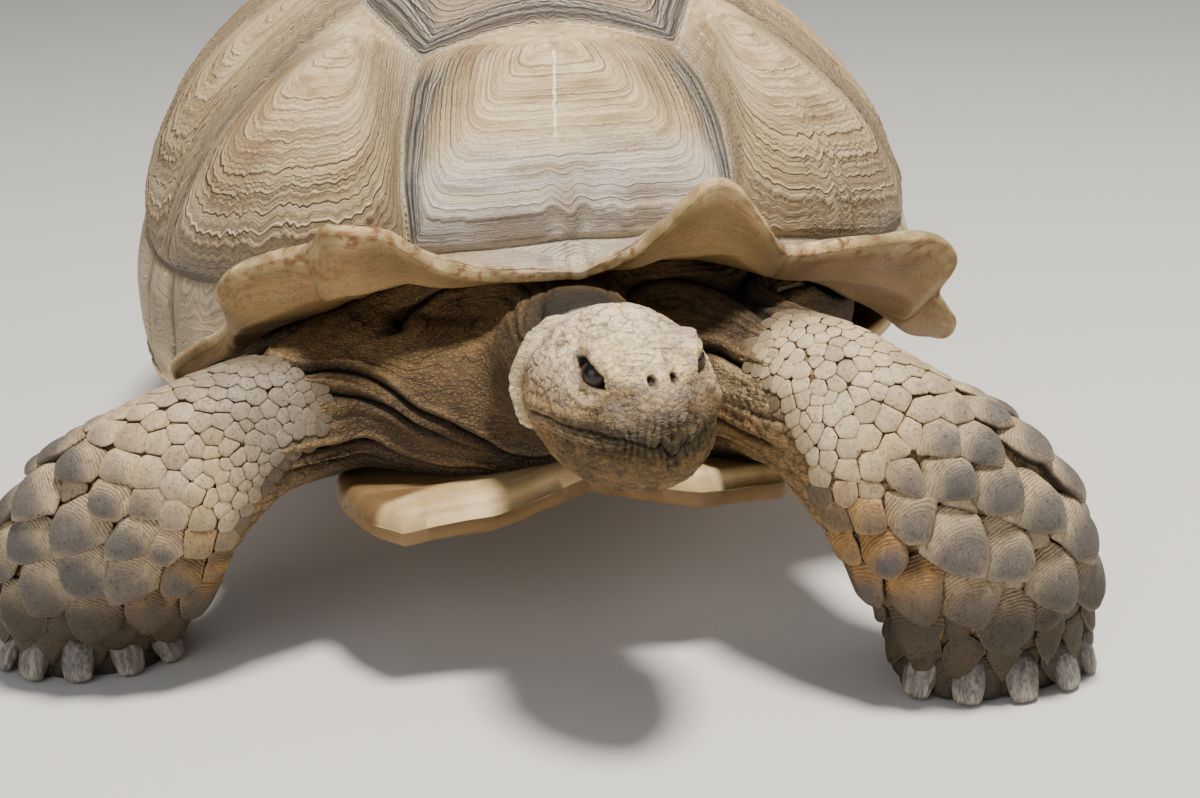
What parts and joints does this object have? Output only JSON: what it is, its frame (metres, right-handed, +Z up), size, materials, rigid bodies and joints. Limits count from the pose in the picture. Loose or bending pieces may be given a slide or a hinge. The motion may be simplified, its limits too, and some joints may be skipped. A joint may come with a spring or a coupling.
{
  "type": "sulcata tortoise",
  "caption": "Life-size still model of a sulcata tortoise walking, with a ringed brown shell, flared rim, forked gular plates and big leg scales.",
  "frame": {"origin": "on the floor, under the middle of the whole animal", "axes": "+Z up, -Y towards the head, +X to the animal's own left; the flat soles of the feet are at z = 0"},
  "size_m": [0.6396, 0.852, 0.399],
  "materials": {
    "carapace_horn": "worn horn with growth rings, tan to grey-brown",
    "plastron_horn": "smooth yellow-brown horn",
    "body_skin": "dark brown folded skin with small beads",
    "head_skin": "dry pale grey-tan skin with flat scales",
    "limb_scales": "hard grey-tan scales on dry skin",
    "claw_horn": "blunt grey-brown claws",
    "eye": "wet dark brown"
  },
  "bodies": {
    "root": {"carapace": "carapace_horn", "plastron": "plastron_horn", "torso": "body_skin", "neck": "body_skin", "head": "head_skin", "lower_jaw": "head_skin", "eye_left": "eye", "eye_right": "eye", "tail": "limb_scales", "upper_arm_left": "limb_scales", "forearm_left": "limb_scales", "front_foot_left": "limb_scales", "front_claw_left_1": "claw_horn", "front_claw_left_2": "claw_horn", "front_claw_left_3": "claw_horn", "front_claw_left_4": "claw_horn", "front_claw_left_5": "claw_horn", "thigh_left": "limb_scales", "shin_left": "limb_scales", "hind_foot_left": "limb_scales", "hind_claw_left_1": "claw_horn", "hind_claw_left_2": "claw_horn", "hind_claw_left_3": "claw_horn", "hind_claw_left_4": "claw_horn", "upper_arm_right": "limb_scales", "forearm_right": "limb_scales", "front_foot_right": "limb_scales", "front_claw_right_1": "claw_horn", "front_claw_right_2": "claw_horn", "front_claw_right_3": "claw_horn", "front_claw_right_4": "claw_horn", "front_claw_right_5": "claw_horn", "thigh_right": "limb_scales", "shin_right": "limb_scales", "hind_foot_right": "limb_scales", "hind_claw_right_1": "claw_horn", "hind_claw_right_2": "claw_horn", "hind_claw_right_3": "claw_horn", "hind_claw_right_4": "claw_horn"}
  },
  "joints": []
}
